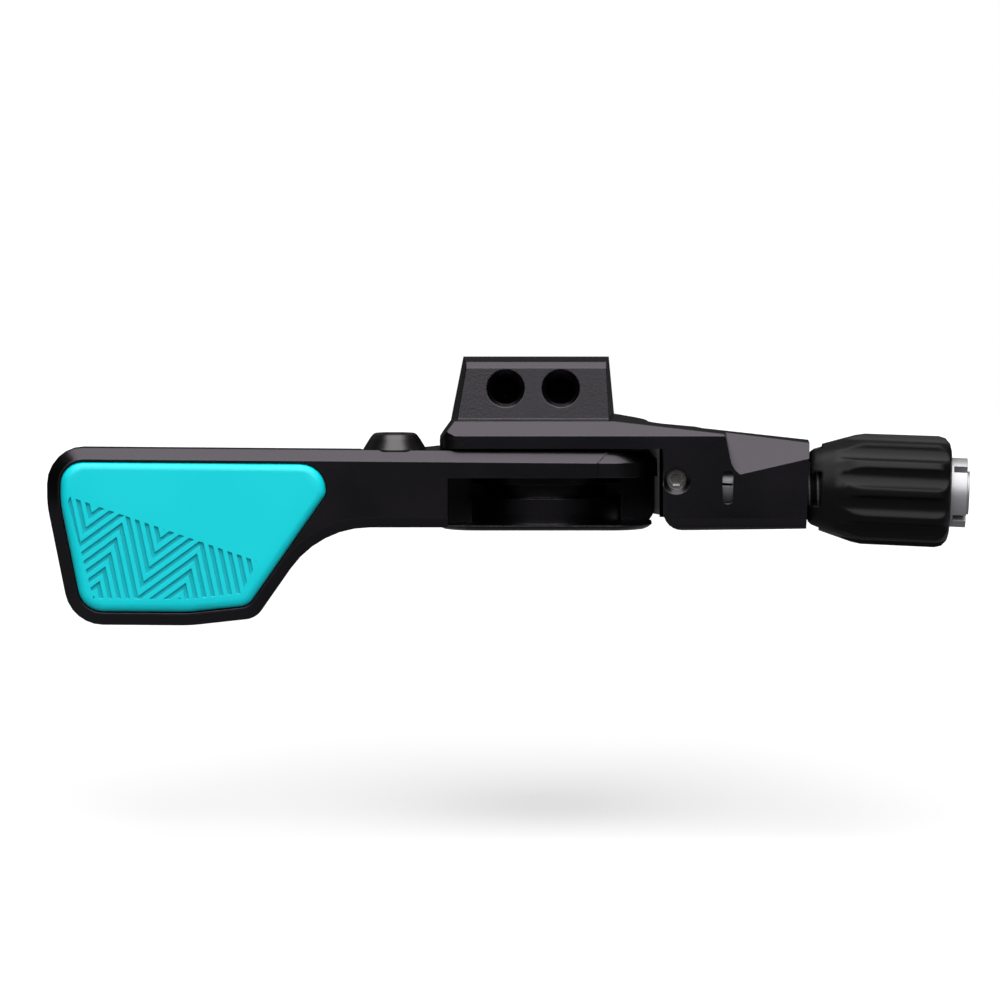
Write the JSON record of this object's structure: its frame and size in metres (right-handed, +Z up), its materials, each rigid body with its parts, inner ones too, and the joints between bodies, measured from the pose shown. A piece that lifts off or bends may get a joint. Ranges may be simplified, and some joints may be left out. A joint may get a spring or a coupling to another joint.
{
  "type": "dropper post remote lever",
  "caption": "Handlebar thumb lever with a rubber-padded paddle on a sealed bearing, a bolted mounting block and a fluted cable adjuster.",
  "frame": {"origin": "midway between the two threaded mounting holes, on the block's front face", "axes": "+X towards the cable adjuster, +Y away from the thumb pad's side, +Z up along the pivot's axis"},
  "size_m": [0.1026, 0.0257, 0.0292],
  "materials": {
    "black_anodised": "satin anodised",
    "pad_rubber": "matte moulded",
    "black_plastic": "satin moulded",
    "bright_steel": "polished",
    "dark_steel": "black oxide",
    "silver_aluminium": "turned",
    "black_seal": "matte",
    "cage_nylon": "moulded"
  },
  "bodies": {
    "bracket": {"bracket": "black_anodised", "pivot_bolt": "dark_steel", "pivot_shim_upper": "bright_steel", "pivot_shim_lower": "bright_steel", "bearing_inner_race": "bright_steel", "stop_pin": "bright_steel", "set_screw": "bright_steel"},
    "lever": {"lever": "black_anodised", "thumb_pad": "pad_rubber", "pinch_bolt": "dark_steel", "bearing_outer_race": "bright_steel", "bearing_seal_upper": "black_seal", "bearing_seal_lower": "black_seal", "bearing_circlip": "dark_steel"},
    "ball_cage": {"bearing_balls": "bright_steel", "bearing_cage": "cage_nylon"},
    "ferrule": {"housing_ferrule": "silver_aluminium"},
    "knob": {"adjuster_core": "silver_aluminium", "adjuster_knob": "black_plastic", "adjuster_o_ring": "black_seal"}
  },
  "joints": [
    {"name": "lever_pivot", "type": "hinge", "parent": "bracket", "child": "lever", "pos_m": [0.0012, 0.004, -0.01135], "axis": [0, 0, -1], "range_deg": [0, 40]},
    {"name": "cage_turn", "type": "hinge", "parent": "bracket", "child": "ball_cage", "pos_m": [0.0012, 0.004, -0.01135], "axis": [0, 0, -1], "range_deg": [0, 24]},
    {"name": "adjuster_slide", "type": "slide", "parent": "bracket", "child": "ferrule", "axis": [0.9992, 0, -0.0401], "range_m": [0, 0.004]},
    {"name": "adjuster_turn", "type": "hinge", "parent": "ferrule", "child": "knob", "pos_m": [0.0305, -0.00295, -0.0108], "axis": [0.9992, 0, -0.0401], "range_deg": [0, 1445]}
  ],
  "couplings": [
    {"joint": "cage_turn", "follows": "lever_pivot", "ratio": 0.5873},
    {"joint": "adjuster_turn", "follows": "adjuster_slide", "rad_per_m": 6283.2}
  ]
}
